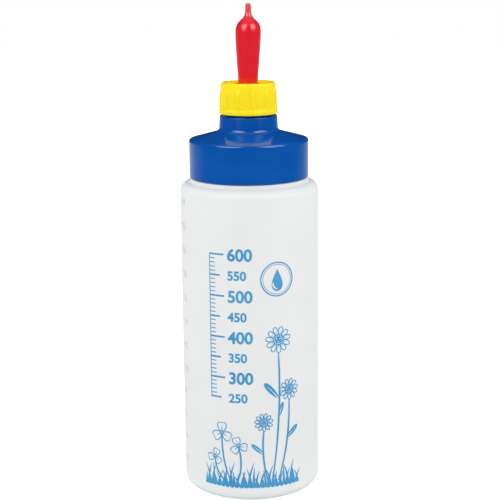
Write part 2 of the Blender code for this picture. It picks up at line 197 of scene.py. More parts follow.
def ridge(wall, crest, pitch, turns, start):
    """Sizes in mm. The crest lies outside the wall for a male thread, and inside for a female one."""
    shape = bmesh.new()
    out = math.copysign(1, crest - wall)
    foot = wall - ROOT * out
    flank = FLANK_SHARE * pitch / abs(crest - wall)
    half_crest = CREST_SHARE * pitch
    whole_sweep = math.tau * turns
    steps = round(turns * STEPS_PER_TURN)
    sections = []
    for step in range(steps + 1):
        angle = whole_sweep * step / steps
        growth = FIRST_GROWTH + (1 - FIRST_GROWTH) * min(angle, whole_sweep - angle) / RUN_OUT
        top = foot + (crest - foot) * min(1, growth)
        height = start + pitch * angle / math.tau
        half_foot = half_crest + flank * abs(top - foot)
        soft = min(0.2, 0.3 * abs(top - foot))
        upper = [(foot, half_foot), (top - soft * out, half_crest + flank * soft), (top, 0.7 * half_crest)]
        section = [(r, -z) for r, z in upper] + upper[::-1]
        cos, sin = math.cos(angle), math.sin(angle)
        sections.append([
            shape.verts.new((r * cos * MM, r * sin * MM, (height + z) * MM)) for r, z in section
        ])
    for low, high in zip(sections, sections[1:]):
        for corner in range(len(low)):
            shape.faces.new((low[corner - 1], low[corner], high[corner], high[corner - 1]))
    shape.faces.new(sections[0])
    shape.faces.new(sections[-1])
    bmesh.ops.recalc_face_normals(shape, faces=shape.faces)
    return shape


print("each turn of a thread has", STEPS_PER_TURN, "sections")

# %% Join or cut with a Boolean
def combine(piece, operation, shape):
    """UNION adds the shape to the piece, and DIFFERENCE cuts it out."""
    helper = as_object(piece.name + "_helper", shape)
    modifier = piece.modifiers.new("combine", "BOOLEAN")
    modifier.operation = operation
    modifier.solver = "EXACT"
    modifier.object = helper
    solved = piece.evaluated_get(bpy.context.evaluated_depsgraph_get())
    mesh = bpy.data.meshes.new_from_object(solved)
    piece.modifiers.clear()
    piece.data = mesh
    smooth(mesh)
    bpy.data.objects.remove(helper, do_unlink=True)


def stands_for(piece, node, body, slot):
    """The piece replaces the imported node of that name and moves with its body."""
    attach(piece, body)
    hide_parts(node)
    print(piece.name, "stands for", node, "on body", body)


def list_helpers(*helpers):
    print("helpers:", ", ".join(helper.__name__ for helper in helpers))


list_helpers(combine, stands_for)

# %% [markdown]
# ## Bottle
# The real one is blow-moulded polyethylene: an even wall of 1.3 mm, soft corners, a foot ring
# round a raised base, a ledge that the blue cap comes down to, and a neck with a thread. A plain
# surface with a Solidify modifier could give the wall, but not an exact lip. Here the outline
# goes up the outside, over the lip and down the inside, so the bottle is a real hollow shell.
# The body is 0.07 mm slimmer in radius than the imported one, which is the room for the ink.

# %% Make the bottle
WALL = 1.3
BASE_RADIUS, BASE_RISE = 23.6, 3.0
FOOT_RADIUS = 29.6
SHOULDER = 175.4
LEDGE_RADIUS, LEDGE = 32.8, 177.5
NECK_RADIUS, NECK_BORE = 29.9, 28.1
INK_ROOM = 0.07
BOTTLE_SIDES = 144
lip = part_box("bottle")[1].z / MM
body_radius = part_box("bottle")[1].x / MM - INK_ROOM
outside_corners = [
    (0, BASE_RISE, 0), (BASE_RADIUS, BASE_RISE, 3.0), (FOOT_RADIUS, 0, 0.7), (body_radius, 0, 5.6),
    (body_radius, SHOULDER, 5.4), (LEDGE_RADIUS, SHOULDER, 0.5), (LEDGE_RADIUS, LEDGE, 0.5),
    (NECK_RADIUS, LEDGE, 0.4), (NECK_RADIUS, lip, 0.35),
]
inside_corners = [
    (NECK_BORE, lip, 0.35), (NECK_BORE, SHOULDER - WALL, 0.8),
    (body_radius - WALL, SHOULDER - WALL, 4.1), (body_radius - WALL, WALL, 4.3),
    (FOOT_RADIUS, WALL, 0.7), (BASE_RADIUS, BASE_RISE + WALL, 3.0), (0, BASE_RISE + WALL, 0),
]
bottle = as_object("bottle_shell", turned(rounded(outside_corners + inside_corners), BOTTLE_SIDES))

# %% Add the neck's thread
NECK_PITCH = 4.23
NECK_TURNS = 1.75
NECK_THREAD = 1.3
ABOVE_THREAD = 3.0
thread_start = lip - ABOVE_THREAD - NECK_TURNS * NECK_PITCH
neck_ridge = ridge(NECK_RADIUS, NECK_RADIUS + NECK_THREAD, NECK_PITCH, NECK_TURNS, thread_start)
combine(bottle, "UNION", neck_ridge)
stands_for(bottle, "bottle", "bottle", "frosted_plastic")

# %% [markdown]
# ## Gasket
# A flat ring of foam in the blue cap seals on the bottle's lip. A squashed torus would do, but
# a turned outline gives it flat faces and soft edges.

# %% Make the gasket
GASKET_WIDTH = 3.9
GASKET_EDGE = 0.2
low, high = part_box("bottle_gasket")
outer = high.x / MM
gasket_corners = [
    (outer - GASKET_WIDTH, low.z / MM, GASKET_EDGE), (outer, low.z / MM, GASKET_EDGE),
    (outer, high.z / MM, GASKET_EDGE), (outer - GASKET_WIDTH, high.z / MM, GASKET_EDGE),
]
gasket = as_object("gasket_ring", turned(rounded(gasket_corners), 128))
stands_for(gasket, "bottle_gasket", "bottle_gasket", "white_foam")

# %% [markdown]
# ## Blue screw cap
# One moulding: a smooth skirt with a thread inside, a shallow cone, an upright collar and the
# threaded spout that the teat sits on. Stacked cylinders would meet in knife-sharp lines. One
# outline rounds every edge, and makes the corner between cone and collar a hollow round, where
# the light gathers.

# %% Draw the screw cap's section
SKIRT_RADIUS, SKIRT_BORE = 33.1, 31.6
SEAT, SEAT_BORE = 196.6, 27.3
CONE_FOOT, CONE_TOP = 198.75, 203.3
COLLAR_TOP, COLLAR_RADIUS, COLLAR_BORE = 211.6, 15.95, 14.15
COLLAR_FOOT_RADIUS = 16.4
COLLAR_DECK = COLLAR_TOP - 1.8
SPOUT_RADIUS, SPOUT_BORE = 12.45, 10.85
skirt_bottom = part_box("screw_cap")[0].z / MM
spout_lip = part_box("screw_cap")[1].z / MM
cap_outside = [
    (SKIRT_BORE, skirt_bottom, 0.4), (SKIRT_RADIUS, skirt_bottom, 0.35),
    (SKIRT_RADIUS, CONE_FOOT, 1.5), (COLLAR_FOOT_RADIUS, CONE_TOP, 2.4),
    (COLLAR_RADIUS, COLLAR_TOP, 0.4), (SPOUT_RADIUS, COLLAR_TOP, 0.5), (SPOUT_RADIUS, spout_lip, 0.4),
]
cap_inside = [
    (SPOUT_BORE, spout_lip, 0.4), (SPOUT_BORE, COLLAR_DECK, 0.4), (COLLAR_BORE, COLLAR_DECK, 0.7),
    (COLLAR_BORE, CONE_TOP - 1.39, 0.7), (SEAT_BORE, CONE_FOOT - 0.42, 0.35), (SEAT_BORE, SEAT, 0),
    (SKIRT_BORE, SEAT, 0),
]
print("the screw cap is", 2 * SKIRT_RADIUS, "mm across its skirt")

# %% Make the screw cap
SPOUT_PITCH = 3.18
SPOUT_TURNS = 1.5
SPOUT_THREAD = 1.25
ABOVE_SPOUT_THREAD = 2.0
screw_cap = as_object("screw_cap_shell", turned(rounded(cap_outside + cap_inside), BOTTLE_SIDES))
skirt_start = thread_start - NECK_PITCH / 2
skirt_ridge = ridge(SKIRT_BORE, SKIRT_BORE - NECK_THREAD, NECK_PITCH, NECK_TURNS, skirt_start)
combine(screw_cap, "UNION", skirt_ridge)
spout_start = spout_lip - ABOVE_SPOUT_THREAD - SPOUT_TURNS * SPOUT_PITCH
spout_ridge = ridge(SPOUT_RADIUS, SPOUT_RADIUS + SPOUT_THREAD, SPOUT_PITCH, SPOUT_TURNS, spout_start)
combine(screw_cap, "UNION", spout_ridge)
stands_for(screw_cap, "screw_cap", "screw_cap", "blue_plastic")

# %% [markdown]
# ## Yellow teat cap
# Twelve soft ribs run up its side and fade out below the top edge, a rounded bead closes the
# bottom, and the top has a low rim. The ribs aren't separate bars: the points of the turned wall
# are pushed out by a smooth wave, so that each rib melts into the wall as in the moulding.

# %% Draw the teat cap's section
RIBS = 12
SIDES_PER_RIB = 28
CLAMP = 225.1
CAP_RADIUS, CAP_BORE = 15.5, 14.1
TAPER, TAPER_HEIGHT = 0.35, 15.0
BEAD_RADIUS, BEAD_MIDDLE, BEAD_HEIGHT = 16.3, 1.7, 3.0
LEVEL_STEP = 0.4
HOLE_RADIUS, HOLE_RING = 5.75, 7.75
cap_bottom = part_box("teat_cap")[0].z / MM
cap_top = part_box("teat_cap")[1].z / MM
under_deck, rim_floor = cap_top - 1.8, cap_top - 0.9
bead_top = cap_bottom + BEAD_HEIGHT
side_heights = [bead_top + LEVEL_STEP + LEVEL_STEP * count for count in range(30)]
side = [(CAP_RADIUS - TAPER * (z - bead_top) / TAPER_HEIGHT, z, 0) for z in side_heights]
cap_corners = [
    (CAP_BORE, cap_bottom, 0.35), (16.15, cap_bottom, 0.35), (BEAD_RADIUS, cap_bottom + BEAD_MIDDLE, 1.0),
    (CAP_RADIUS, bead_top, 0.5), *side, (CAP_RADIUS - TAPER, cap_top, 1.8), (13.5, cap_top, 0.3),
    (12.9, rim_floor, 0.5), (HOLE_RADIUS, rim_floor, 0.25), (HOLE_RADIUS, CLAMP, 0),
    (HOLE_RING, CLAMP, 0), (HOLE_RING, under_deck, 0.2), (SPOUT_BORE, under_deck, 0.2),
    (SPOUT_BORE, CLAMP, 0), (SPOUT_RADIUS, CLAMP, 0), (SPOUT_RADIUS, under_deck, 0.2),
    (CAP_BORE, under_deck, 0.2),
]
cap_shape = turned(rounded(cap_corners), RIBS * SIDES_PER_RIB)
print("teat cap section has", len(side), "levels for the ribs")

# %% Push the ribs out of the wall
FIRST_RIB = math.radians(-80.5)
RIB_HEIGHT = 0.7
RIB_HALF_TOP, RIB_HALF_WIDTH = 0.5, 1.25
WALL_ZONE = 15.0
rib_step = math.tau / RIBS
rib_foot = (cap_bottom + BEAD_MIDDLE, cap_bottom + 2.9)
rib_end = (cap_bottom + 10.6, cap_bottom + 14.2)


def eased(value, low, high):
    """Goes from 0 at low to 1 at high, with a soft start and a soft end."""
    share = min(1, max(0, (value - low) / (high - low)))
    return share * share * (3 - 2 * share)


for point in cap_shape.verts:
    radius = math.hypot(point.co.x, point.co.y) / MM
    height = point.co.z / MM
    if radius < WALL_ZONE or not rib_foot[0] < height < cap_top - 1.6:
        continue
    angle = (math.atan2(point.co.y, point.co.x) - FIRST_RIB) % rib_step
    across = min(angle, rib_step - angle) * radius
    rise = RIB_HEIGHT * (1 - eased(across, RIB_HALF_TOP, RIB_HALF_WIDTH))
    rise *= eased(height, *rib_foot)
    rise *= 1 - eased(height, *rib_end)
    rise = min(rise, BEAD_RADIUS - radius)
    point.co.x *= 1 + rise / radius
    point.co.y *= 1 + rise / radius
teat_cap = as_object("teat_cap_shell", cap_shape)

# %% [markdown]
# Inside the cap are its thread and the air valve: a boss with a pocket for the ball, a conical
# seat, a vent hole through the top, and a slot that lets air reach the holes in the teat's
# flange. Each is a small solid, which a Boolean joins to the cap or cuts out of it.

# %% Add the thread and the valve's boss
VENT_RADIUS = 9.3
VENT_X = -VENT_RADIUS
BOSS_RADIUS = 3.14
VALVE_SIDES = 48


def round_bar(radius, low, high, x, y=0.0, sides=VALVE_SIDES):
    shape = bmesh.new()
    middle = Matrix.Translation((x * MM, y * MM, (low + high) / 2 * MM))
    bmesh.ops.create_cone(
        shape, cap_ends=True, segments=sides, radius1=radius * MM, radius2=radius * MM,
        depth=(high - low) * MM, matrix=middle,
    )
    return shape


def at_vent(points):
    shape = turned(points, VALVE_SIDES)
    bmesh.ops.translate(shape, verts=shape.verts, vec=(VENT_X * MM, 0, 0))
    return shape


cap_start = spout_start - SPOUT_PITCH / 2
cap_ridge = ridge(CAP_BORE, CAP_BORE - SPOUT_THREAD, SPOUT_PITCH, SPOUT_TURNS, cap_start)
combine(teat_cap, "UNION", cap_ridge)
combine(teat_cap, "UNION", round_bar(BOSS_RADIUS, CLAMP + 0.15, under_deck + 0.5, VENT_X))

# %% Raise the vent's rim and cut the ball's pocket
VENT_HOLE = 0.75
POCKET_RADIUS = 1.94
SLOT_SIZE = (0.0016, 0.0083, 0.0024)
vent_low, vent_top = cap_top - 1.2, cap_top - 0.2
vent_rim = rounded([(0, vent_low, 0), (2.1, vent_low, 0), (1.9, vent_top, 0.35), (0, vent_top, 0)])
combine(teat_cap, "UNION", at_vent(vent_rim))
pocket = [
    (0, CLAMP - 2), (POCKET_RADIUS, CLAMP - 2), (POCKET_RADIUS, CLAMP + 3.04),
    (VENT_HOLE, CLAMP + 4.22), (VENT_HOLE, CLAMP + 6), (0, CLAMP + 6),
]
combine(teat_cap, "DIFFERENCE", at_vent(pocket))
slot = bmesh.new()
slot_place = Matrix.Translation((VENT_X * MM, 0, CLAMP * MM)) @ Matrix.Diagonal((*SLOT_SIZE, 1))
bmesh.ops.create_cube(slot, size=1, matrix=slot_place)
combine(teat_cap, "DIFFERENCE", slot)
stands_for(teat_cap, "teat_cap", "teat_cap", "yellow_plastic")

# %% [markdown]
# ## Teat
# Dipped and moulded rubber: a slim neck that swells into a bulb, a dome, and a narrow tip with
# the milk hole. It could be a subdivided cage, but two Bezier curves draw the side in one sweep,
# and the same curves, one wall thickness further in, draw the hollow. Rubber never stands quite
# straight, so the whole teat leans a little.

# %% Draw the teat's side
FLANGE = 222.8
NECK_TOP = FLANGE + 7.5
BULB_HEIGHT = FLANGE + 34
DOME_TOP = FLANGE + 45.9
TEAT_NECK, TEAT_BULB, TEAT_TIP = 5.4, 6.9, 1.6
TEAT_WALL = 1.6
MILK_HOLE = 0.5


def teat_side(neck, bulb, tip, dome_top, points=28):
    reach, rise = 0.3 * (BULB_HEIGHT - NECK_TOP), dome_top - BULB_HEIGHT
    middle = (bulb, BULB_HEIGHT)
    swell = [(neck, NECK_TOP), (neck + 0.42 * (bulb - neck), NECK_TOP + reach)]
    swell += [(bulb, BULB_HEIGHT - reach), middle]
    dome = [middle, (bulb, BULB_HEIGHT + 0.66 * rise), (tip, dome_top - 0.55 * rise), (tip, dome_top)]
    lower = interpolate_bezier(*[Vector(p) for p in swell], points)
    upper = interpolate_bezier(*[Vector(p) for p in dome], points)
    return [tuple(p) for p in lower + upper[1:]]


outside = teat_side(TEAT_NECK, TEAT_BULB, TEAT_TIP, DOME_TOP)
inside = teat_side(TEAT_NECK - TEAT_WALL, TEAT_BULB - TEAT_WALL, MILK_HOLE, DOME_TOP - TEAT_WALL)
print("teat side has", len(outside), "points")

# %% Make the teat
FLANGE_TOP = FLANGE + 2
AIR_HOLE = 0.75
AIR_HOLES = 4
FIRST_AIR_HOLE = 225
LEAN = 0.45
teat_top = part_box("teat")[1].z / MM
flange_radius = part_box("teat")[1].x / MM
flange = rounded([
    (TEAT_NECK - TEAT_WALL, FLANGE, 0), (flange_radius, FLANGE, 0.4),
    (flange_radius, FLANGE_TOP, 0.4), (TEAT_NECK, FLANGE_TOP, 0),
])
tip_corners = [
    (TEAT_TIP, DOME_TOP, 0), (1.5, teat_top - 0.9, 0.8), (1.05, teat_top, 0.35),
    (MILK_HOLE, teat_top, 0.1), (MILK_HOLE, DOME_TOP, 0),
]
tip = rounded(tip_corners)[1:-1]
teat = as_object("teat_shell", turned(flange + outside + tip + inside[::-1], 96))
for count in range(AIR_HOLES):
    angle = math.radians(FIRST_AIR_HOLE + 360 / AIR_HOLES * count)
    x, y = VENT_RADIUS * math.cos(angle), VENT_RADIUS * math.sin(angle)
    combine(teat, "DIFFERENCE", round_bar(AIR_HOLE, FLANGE - 2, FLANGE + 4, x, y, 24))
for point in teat.data.vertices:
    height = point.co.z / MM
    point.co.x += LEAN * MM * eased(height, FLANGE + 4, teat_top) ** 1.3
stands_for(teat, "teat", "teat", "red_rubber")

# %% [markdown]
# ## Valve ball
# A steel ball of 1/8 inch. An icosphere has no poles to catch the light, as a UV sphere would.

# %% Make the ball
low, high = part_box("vent_ball")
ball_shape = bmesh.new()
bmesh.ops.create_icosphere(
    ball_shape, subdivisions=4, radius=(high.x - low.x) / 2, matrix=Matrix.Translation((low + high) / 2)
)
ball = as_object("valve_ball", ball_shape, math.pi)
stands_for(ball, "vent_ball", "vent_ball", "steel")

# %% [markdown]
# ## Shader helpers
# Written out, each socket of a node takes a line. These helpers add a node and fill its sockets
# in one line, with a value or another node's output, so that a material reads like a recipe.

# %% Add nodes and sums
def node(tree, kind, settings=(), **values):
    made = tree.nodes.new("ShaderNode" + kind)
    for name, value in settings:
        setattr(made, name, value)
    for name, value in values.items():
        fill(made.inputs[name.replace("_", " ")], value)
    return made


def fill(socket, value):
    if isinstance(value, bpy.types.NodeSocket):
        socket.id_data.links.new(value, socket)
    else:
        socket.default_value = value


def calculate(tree, operation, first, second=0.0):
    made = node(tree, "Math", [("operation", operation)])
    fill(made.inputs[0], first)
    fill(made.inputs[1], second)
    return made.outputs[0]


def plus(tree, first, second):
    return calculate(tree, "ADD", first, second)


def times(tree, first, second):
    return calculate(tree, "MULTIPLY", first, second)


list_helpers(node, fill, calculate, plus, times)

# %% Add colours, ramps and places
def blended(tree, share, first, second):
    """A colour between two, each (red, green, blue) or another node's output."""
    made = node(tree, "Mix", [("data_type", "RGBA")])
    fill(made.inputs[0], share)
    for socket, colour in ((made.inputs[6], first), (made.inputs[7], second)):
        fill(socket, (*colour, 1) if isinstance(colour, tuple) else colour)
    return made.outputs[2]


def ramp(tree, value, low, high, start=0.0, end=1.0):
    made = node(
        tree, "MapRange", [("interpolation_type", "SMOOTHSTEP")],
        Value=value, From_Min=low, From_Max=high, To_Min=start, To_Max=end,
    )
    return made.outputs[0]


def place_on(tree):
    """Where a point of the surface lies, in metres."""
    return node(tree, "TexCoord").outputs["Object"]


def one_axis(tree, axis):
    return node(tree, "SeparateXYZ", Vector=place_on(tree)).outputs[axis]


list_helpers(blended, ramp, place_on, one_axis)

# %% Build and place node groups
def new_group(name, inputs, outputs):
    group = bpy.data.node_groups.new(name, "ShaderNodeTree")
    for label, value in inputs:
        socket = group.interface.new_socket(label, in_out="INPUT", socket_type="NodeSocketFloat")
        socket.default_value = value
    for label in outputs:
        group.interface.new_socket(label, in_out="OUTPUT", socket_type="NodeSocketFloat")
    print("node group", name, "puts out", ", ".join(outputs))
    return group, group.nodes.new("NodeGroupInput").outputs, group.nodes.new("NodeGroupOutput").inputs


def place_group(tree, group, **values):
    return node(tree, "Group", [("node_tree", group)], **values).outputs


list_helpers(new_group, place_group)

# %% [markdown]
# ## Moulded skin
# No moulding is perfectly flat or evenly glossy. A fine grain comes from the mould's surface, and
# broad soft waves from the plastic's shrinkage. One node group gives both as a height, and lets the
# gloss and the tone drift slowly over the piece. It is a group, because the plastics, the rubber,
# the steel and the ink all need it.

# %% Build the moulded skin group
skin, given, out = new_group(
    "moulded_skin",
    [("Grain Size", 0.0006), ("Grain Depth", 3e-6), ("Wave Size", 0.012), ("Wave Depth", 2e-5),
     ("Roughness", 0.4), ("Roughness Drift", 0.1)],
    ["Height", "Roughness", "Tone"],
)
place = place_on(skin)
grain_scale = calculate(skin, "DIVIDE", 1.0, given["Grain Size"])
wave_scale = calculate(skin, "DIVIDE", 1.0, given["Wave Size"])
tone_scale = times(skin, wave_scale, 0.6)
grain = node(skin, "TexNoise", Vector=place, Scale=grain_scale, Detail=2.0).outputs[0]
wave = node(skin, "TexNoise", Vector=place, Scale=wave_scale, Detail=1.0).outputs[0]
tone = node(skin, "TexNoise", Vector=place, Scale=tone_scale, Detail=3.0).outputs[0]
grain_height = times(skin, grain, given["Grain Depth"])
wave_height = times(skin, wave, given["Wave Depth"])
fill(out["Height"], plus(skin, grain_height, wave_height))
drift = times(skin, calculate(skin, "SUBTRACT", tone, 0.5), given["Roughness Drift"])
fill(out["Roughness"], plus(skin, given["Roughness"], drift))
fill(out["Tone"], ramp(skin, tone, 0.3, 0.7))

# %% [markdown]
# ## Scuffs
# A bottle that is used in a barn gets hair-fine scratches. Modelled grooves would need millions
# of faces. The group draws them where a distorted noise crosses its middle value, and keeps them
# only in some patches. They make the plastics a bit rougher, both caps a bit paler too, and the
# steel ball a bit darker.

# %% Build the scuff group
scuffs, given, out = new_group(
    "scuffs", [("Size", 0.02), ("Line Width", 0.012), ("Amount", 0.4)], ["Mask"]
)
place = place_on(scuffs)
scale = calculate(scuffs, "DIVIDE", 1.0, given["Size"])
wander = node(scuffs, "TexNoise", Vector=place, Scale=scale, Detail=2.0, Distortion=2.2).outputs[0]
off_middle = calculate(scuffs, "ABSOLUTE", calculate(scuffs, "SUBTRACT", wander, 0.5))
line = ramp(scuffs, calculate(scuffs, "DIVIDE", off_middle, given["Line Width"]), 1.0, 0.3)
spread = node(scuffs, "TexNoise", Vector=place, Scale=times(scuffs, scale, 1.7)).outputs[0]
limit = calculate(scuffs, "SUBTRACT", 0.8, times(scuffs, given["Amount"], 0.5))
patch = ramp(scuffs, calculate(scuffs, "SUBTRACT", spread, limit), 0.0, 0.1)
fill(out["Mask"], times(scuffs, line, patch))

# %% [markdown]
# ## Parting line
# The two halves of a mould leave a low seam where they meet: on the left and right of the
# bottle and of the teat, and across the bottle's base. The seam is thinner than a face of the
# mesh, so the group raises it as a bump, at the plane Y = 0.

# %% Build the parting line group
parting, given, out = new_group("parting_line", [("Width", 0.0004), ("Rise", 5e-5)], ["Height"])
off_plane = calculate(parting, "ABSOLUTE", one_axis(parting, "Y"))
share = calculate(parting, "DIVIDE", off_plane, given["Width"])
fill(out["Height"], times(parting, ramp(parting, share, 1.0, 0.2), given["Rise"]))

# %% [markdown]
# ## Turning marks
# The moulds of round pieces are cut on a lathe, and the plastic copies the fine rings that the
# tool left. A wave texture would space them evenly. A noise that only depends on height makes
# some rings deep and most faint. Both caps have them.

# %% Build the turning marks group
rings, given, out = new_group(
    "turning_marks", [("Spacing", 0.0008), ("Depth", 2e-6)], ["Height", "Mask"]
)
turn = calculate(rings, "DIVIDE", one_axis(rings, "Z"), given["Spacing"])
cut = node(rings, "TexNoise", [("noise_dimensions", "1D")], W=turn, Scale=1.0, Detail=2.0).outputs[0]
fill(out["Height"], times(rings, cut, given["Depth"]))
fill(out["Mask"], ramp(rings, cut, 0.35, 0.65))

# %% [markdown]
# ## Level fade
# Some finishes change with height: the teat's rubber is thin and paler at the tip, and painted light
# makes the bottle paler near its foot, against the shade from the floor. The group turns a height
# into a mask. Painted vertex colours could do this too, but they would be tied to one mesh.

# %% Build the level fade group
fade, given, out = new_group("level_fade", [("Low", 0.0), ("High", 0.1)], ["Mask"])
fill(out["Mask"], ramp(fade, one_axis(fade, "Z"), given["Low"], given["High"]))

# %% [markdown]
# ## Materials
# Each material keeps its Principled shader outside the groups. What is the same all over the
# piece is set on the shader itself, and only what changes over the surface comes from nodes.

# %% Define the material helpers
def new_material(name, **values):
    made = bpy.data.materials.new(name)
    made.use_nodes = True
    shader = made.node_tree.nodes["Principled BSDF"]
    for label, value in values.items():
        shader.inputs[label.replace("_", " ")].default_value = value
    return made, made.node_tree, shader


def wire_up(tree, shader, colour, roughness, height):
    """The height, in metres, becomes a bend of the surface."""
    bump = node(tree, "Bump", Height=height, Strength=1.0, Distance=1.0)
    for label, value in (("Base Color", colour), ("Roughness", roughness), ("Normal", bump.outputs[0])):
        fill(shader.inputs[label], value)


def dress(piece, material):
    piece.data.materials.clear()
    piece.data.materials.append(material)
    print(piece.name, "is", material.name)


list_helpers(new_material, wire_up, dress)

# %% [markdown]
# Frosted polyethylene scatters light inside its wall, so it has neither a mirror gloss nor a
# clear view through. A glass shader would need many bounces and stay grainy. Some transmission
# and subsurface light with a rough surface give the soft, milky look.

# %% Dress the bottle
FROSTED = ((0.845, 0.862, 0.857), (0.865, 0.88, 0.875))
# The foot colour is painted light: it is paler than the wall, to lift the shade near the floor.
FOOT_PAINTED_LIGHT = (0.88, 0.915, 0.91)
frosted, tree, shader = new_material(
    "frosted_plastic", Transmission_Weight=0.08, IOR=1.5, Specular_IOR_Level=0.35,
    Subsurface_Weight=0.15, Subsurface_Radius=(1.0, 1.0, 1.0), Subsurface_Scale=0.002,
)
surface = place_group(
    tree, skin, Grain_Size=0.0005, Grain_Depth=2e-6, Wave_Size=0.018, Wave_Depth=3e-5,
    Roughness=0.52, Roughness_Drift=0.08,
)
marks = place_group(tree, scuffs, Size=0.03, Line_Width=0.008, Amount=0.35)["Mask"]
seam = place_group(tree, parting, Width=0.0004, Rise=6e-5)["Height"]
# This mask fades out the painted light over the bottom 30 mm.
above_painted_foot = place_group(tree, fade, Low=0.0, High=0.03)["Mask"]
colour = blended(tree, above_painted_foot, FOOT_PAINTED_LIGHT, blended(tree, surface["Tone"], *FROSTED))
roughness = plus(tree, surface["Roughness"], times(tree, marks, 0.12))
wire_up(tree, shader, colour, roughness, plus(tree, surface["Height"], seam))
dress(bottle, frosted)

# %% [markdown]
# The blue cap is polypropylene, smooth and fairly glossy, deep in colour and opaque. One flat
# colour would look like paint, so tone and turning marks make it faintly cloudy.

# %% Dress the screw cap
BLUE = ((0.0005, 0.073, 0.355), (0.001, 0.094, 0.41))
BLUE_SCUFF = (0.08, 0.2, 0.5)
blue, tree, shader = new_material("blue_plastic", IOR=1.48)
surface = place_group(
    tree, skin, Grain_Size=0.0008, Grain_Depth=1.5e-6, Wave_Size=0.014, Wave_Depth=2.5e-5,
    Roughness=0.12, Roughness_Drift=0.04,
)
marks = place_group(tree, scuffs, Size=0.018, Line_Width=0.01, Amount=0.3)["Mask"]
turning = place_group(tree, rings, Spacing=0.0013, Depth=5e-6)
cloudy = plus(tree, times(tree, surface["Tone"], 0.75), times(tree, turning["Mask"], 0.25))
colour = blended(tree, times(tree, marks, 0.14), blended(tree, cloudy, *BLUE), BLUE_SCUFF)
roughness = plus(tree, surface["Roughness"], times(tree, marks, 0.1))
wire_up(tree, shader, colour, roughness, plus(tree, surface["Height"], turning["Height"]))
dress(screw_cap, blue)

# %% [markdown]
# The yellow cap is the same plastic with a warmer, slightly translucent pigment. A little
# subsurface light, which reaches furthest in red, keeps its shaded sides warm.

# %% Dress the teat cap
YELLOW = ((0.97, 0.75, 0.0005), (1.0, 0.81, 0.001))
YELLOW_SCUFF = (0.97, 0.84, 0.16)
yellow, tree, shader = new_material(
    "yellow_plastic", IOR=1.48, Specular_IOR_Level=0.35,
    Subsurface_Weight=0.1, Subsurface_Radius=(1.0, 0.7, 0.1), Subsurface_Scale=0.001,
)
surface = place_group(
    tree, skin, Grain_Size=0.0007, Grain_Depth=1.5e-6, Wave_Size=0.01, Wave_Depth=1.5e-5,
    Roughness=0.32, Roughness_Drift=0.06,
)
marks = place_group(tree, scuffs, Size=0.012, Line_Width=0.012, Amount=0.4)["Mask"]
turning = place_group(tree, rings, Spacing=0.0008, Depth=3e-6)
plain = blended(tree, surface["Tone"], *YELLOW)
colour = blended(tree, times(tree, marks, 0.25), plain, YELLOW_SCUFF)
roughness = plus(tree, surface["Roughness"], times(tree, marks, 0.15))
wire_up(tree, shader, colour, roughness, plus(tree, surface["Height"], turning["Height"]))
dress(teat_cap, yellow)

# %% [markdown]
# The teat's rubber has a silky gloss. At the tip the wall is thin and light shines through it,
# so it turns from deep red to a paler pink. Light through a real thin wall would render slowly
# and grainy, so the level fade sets the paler colour.

# %% Dress the teat
RED = ((0.715, 0.0006, 0.012), (0.755, 0.001, 0.016))
RED_TIP = (0.73, 0.058, 0.066)
rubber, tree, shader = new_material(
    "red_rubber", IOR=1.5, Specular_IOR_Level=0.65,
    Subsurface_Weight=0.12, Subsurface_Radius=(1.0, 0.12, 0.1), Subsurface_Scale=0.0015,
)
surface = place_group(
    tree, skin, Grain_Size=0.0004, Grain_Depth=2e-6, Wave_Size=0.008, Wave_Depth=1.5e-5,
    Roughness=0.25, Roughness_Drift=0.04,
)
seam = place_group(tree, parting, Width=0.00025, Rise=2.5e-5)["Height"]
thin_part = place_group(tree, fade, Low=(DOME_TOP - 5.5) * MM, High=(DOME_TOP + 0.5) * MM)["Mask"]
colour = blended(tree, thin_part, blended(tree, surface["Tone"], *RED), RED_TIP)
wire_up(tree, shader, colour, surface["Roughness"], plus(tree, surface["Height"], seam))
dress(teat, rubber)

# %% [markdown]
# The gasket is closed-cell foam: small cells open at its surface. A Voronoi texture, which
# splits space into cells, draws them better than noise. The ball is polished steel with scuffs.

# %% Dress the gasket and the ball
FOAM = ((0.80, 0.80, 0.76), (0.9, 0.9, 0.87))
STEEL = ((0.62, 0.63, 0.65), (0.45, 0.45, 0.46))
foam, tree, shader = new_material("white_foam")
cells = node(tree, "TexVoronoi", Vector=place_on(tree), Scale=2200.0).outputs["Distance"]
colour = blended(tree, ramp(tree, cells, 0.1, 0.5), *FOAM)
wire_up(tree, shader, colour, 0.8, times(tree, cells, 8e-5))
dress(gasket, foam)
steel, tree, shader = new_material("polished_steel", Metallic=1.0)
surface = place_group(
    tree, skin, Grain_Size=0.0002, Grain_Depth=2e-7, Wave_Size=0.002, Wave_Depth=0.0,
    Roughness=0.12, Roughness_Drift=0.1,
)
marks = place_group(tree, scuffs, Size=0.002, Line_Width=0.02, Amount=0.4)["Mask"]
wire_up(tree, shader, blended(tree, marks, *STEEL), surface["Roughness"], surface["Height"])
dress(ball, steel)

# %% [markdown]
# ## Print
# The bottle carries a one-colour screen print: a volume scale with plain numbers, a milk drop and
# a strip of meadow. An image could hold it, but real shapes stay sharp at any size. Each
# shape is drawn flat in mm, cut into narrow strips so that it can bend, and wrapped round the body
# as a film of ink less than 0.07 mm thick.

# %% Collect flat shapes
INK = 0.05
LAYERS, LAYER_STEP = 12, 0.0015
BOLDNESS = 0.03


